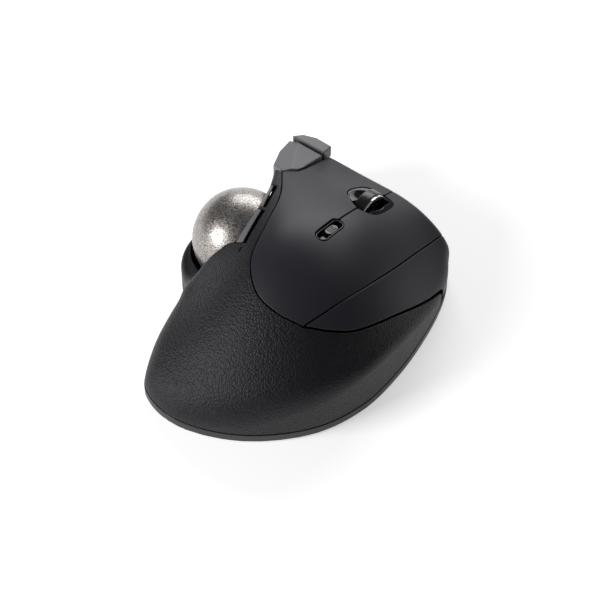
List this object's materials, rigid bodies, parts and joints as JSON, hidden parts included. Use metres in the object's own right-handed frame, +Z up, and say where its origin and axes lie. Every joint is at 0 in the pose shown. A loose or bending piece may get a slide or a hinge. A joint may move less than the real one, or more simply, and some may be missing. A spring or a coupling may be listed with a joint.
{
  "type": "thumb trackball mouse",
  "caption": "Right-hand thumb trackball mouse: sculpted palm shell, thumb ball in an open cup, split top plate with tilting scroll wheel, side keys, mode switch and a sliding cell door.",
  "frame": {"origin": "centre of the bounding box's underside, on the desk plane under the glide feet", "axes": "+Z up, +Y towards the front edge under the fingertips, +X towards the ring finger side, the ball is at -X"},
  "size_m": [0.1112, 0.1404, 0.0579],
  "materials": {
    "ball_silver": "metallic silver grey with fine sparkle under a clear gloss coat",
    "base_plastic": "fine spark texture, near black",
    "bearing": "polished",
    "board": "solder resist",
    "cell_case": "printed sleeve, plain",
    "chrome_ring": "polished",
    "clear_plastic": "smooth, lightly frosted",
    "glide": "low-friction, smooth",
    "gloss_black": "high gloss, black",
    "grained_plastic": "fine leather-like grain, soft-touch, near black",
    "inner_plastic": "as moulded",
    "rubber_black": "smooth matte",
    "satin_plastic": "smooth satin, dark graphite",
    "steel": "bright zinc",
    "switch_plastic": "as moulded"
  },
  "bodies": {
    "case": {"palm_shell": "grained_plastic", "top_plate": "satin_plastic", "support_ball_1": "bearing", "support_ball_2": "bearing", "support_ball_3": "bearing", "ball_cup": "gloss_black", "sensor_lens": "clear_plastic", "sensor_board": "board", "bottom_case": "base_plastic", "foot_1": "glide", "foot_2": "glide", "foot_3": "glide", "foot_4": "glide", "foot_5": "glide", "foot_6": "glide", "screw_1": "steel", "screw_2": "steel", "screw_3": "steel", "screw_4": "steel", "main_board": "board", "controller_chip": "inner_plastic", "power_switch_body": "switch_plastic", "switch_frame": "inner_plastic", "left_switch": "switch_plastic", "right_switch": "switch_plastic", "ring_switch": "switch_plastic", "rear_key_switch": "switch_plastic", "front_key_switch": "switch_plastic", "side_board": "board", "forward_switch": "switch_plastic", "back_switch": "switch_plastic", "light_guide": "clear_plastic", "cell": "cell_case", "contact_plate": "steel", "contact_spring": "steel", "wheel_switch": "switch_plastic", "wheel_bowl": "gloss_black", "mode_switch_recess": "gloss_black", "mode_window": "clear_plastic"},
    "left_button": {"left_button": "satin_plastic"},
    "right_button": {"right_button": "satin_plastic"},
    "ring_finger_button": {"ring_finger_button": "satin_plastic"},
    "rear_function_key": {"rear_function_key": "satin_plastic"},
    "front_function_key": {"front_function_key": "satin_plastic"},
    "forward_button": {"forward_button": "satin_plastic"},
    "back_button": {"back_button": "satin_plastic"},
    "ball": {"ball": "ball_silver"},
    "battery_door": {"battery_door": "base_plastic"},
    "power_slider": {"power_slider": "glide"},
    "pairing_button": {"pairing_button": "rubber_black"},
    "mode_slider": {"mode_slider": "gloss_black"},
    "tilt_cradle": {"tilt_cradle": "inner_plastic"},
    "carriage": {"wheel_carriage": "inner_plastic", "encoder_emitter": "inner_plastic", "encoder_receiver": "inner_plastic"},
    "wheel": {"wheel_tyre": "rubber_black", "wheel_ring": "chrome_ring", "wheel_hub": "inner_plastic", "wheel_axle": "steel"}
  },
  "joints": [
    {"name": "ball_spin", "type": "hinge", "parent": "case", "child": "ball", "pos_m": [-0.03211, 0.01128, 0.0265], "axis": [1, 0, 0], "continuous": true},
    {"name": "left_press", "type": "hinge", "parent": "case", "child": "left_button", "pos_m": [-0.00351, 0.00768, 0.055], "axis": [-1, 0, 0], "range_deg": [0, 0.8], "stiffness_Nm_per_rad": 1.2, "springref_deg": -0.34},
    {"name": "right_press", "type": "hinge", "parent": "case", "child": "right_button", "pos_m": [0.02149, 0.00768, 0.055], "axis": [-1, 0, 0], "range_deg": [0, 0.8], "stiffness_Nm_per_rad": 1.2, "springref_deg": -0.34},
    {"name": "ring_press", "type": "hinge", "parent": "case", "child": "ring_finger_button", "pos_m": [0.03149, -0.01832, 0.044], "axis": [-1, 0, 0], "range_deg": [0, 0.6], "stiffness_Nm_per_rad": 1.6, "springref_deg": -0.29},
    {"name": "rear_key_press", "type": "slide", "parent": "case", "child": "rear_function_key", "axis": [0, 0, -1], "range_m": [0, 0.0008], "stiffness_N_per_m": 500, "springref_m": -0.0004},
    {"name": "front_key_press", "type": "slide", "parent": "case", "child": "front_function_key", "axis": [0, 0, -1], "range_m": [0, 0.0008], "stiffness_N_per_m": 500, "springref_m": -0.0004},
    {"name": "forward_press", "type": "slide", "parent": "case", "child": "forward_button", "axis": [1, 0, 0], "range_m": [0, 0.0008], "stiffness_N_per_m": 400, "springref_m": -0.0004},
    {"name": "back_press", "type": "slide", "parent": "case", "child": "back_button", "axis": [1, 0, 0], "range_m": [0, 0.0008], "stiffness_N_per_m": 400, "springref_m": -0.0004},
    {"name": "wheel_tilt", "type": "hinge", "parent": "case", "child": "tilt_cradle", "pos_m": [0.00749, 0.04808, 0.026], "axis": [0, 1, 0], "range_deg": [-4, 4], "stiffness_Nm_per_rad": 0.12},
    {"name": "wheel_click", "type": "slide", "parent": "tilt_cradle", "child": "carriage", "axis": [0, 0, -1], "range_m": [0, 0.0008], "stiffness_N_per_m": 800, "springref_m": -0.0004},
    {"name": "wheel_turn", "type": "hinge", "parent": "carriage", "child": "wheel", "pos_m": [0.00749, 0.04808, 0.0366], "axis": [1, 0, 0], "continuous": true},
    {"name": "mode_slide", "type": "slide", "parent": "case", "child": "mode_slider", "axis": [0, 0.9708, -0.2401], "range_m": [-0.003, 0.002]},
    {"name": "power_slide", "type": "slide", "parent": "case", "child": "power_slider", "axis": [1, 0, 0], "range_m": [0, 0.004]},
    {"name": "pairing_press", "type": "slide", "parent": "case", "child": "pairing_button", "axis": [0, 0, 1], "range_m": [0, 0.0006], "stiffness_N_per_m": 300, "springref_m": -0.0004},
    {"name": "door_slide", "type": "slide", "parent": "case", "child": "battery_door", "axis": [0, -1, 0], "range_m": [0, 0.012]}
  ]
}
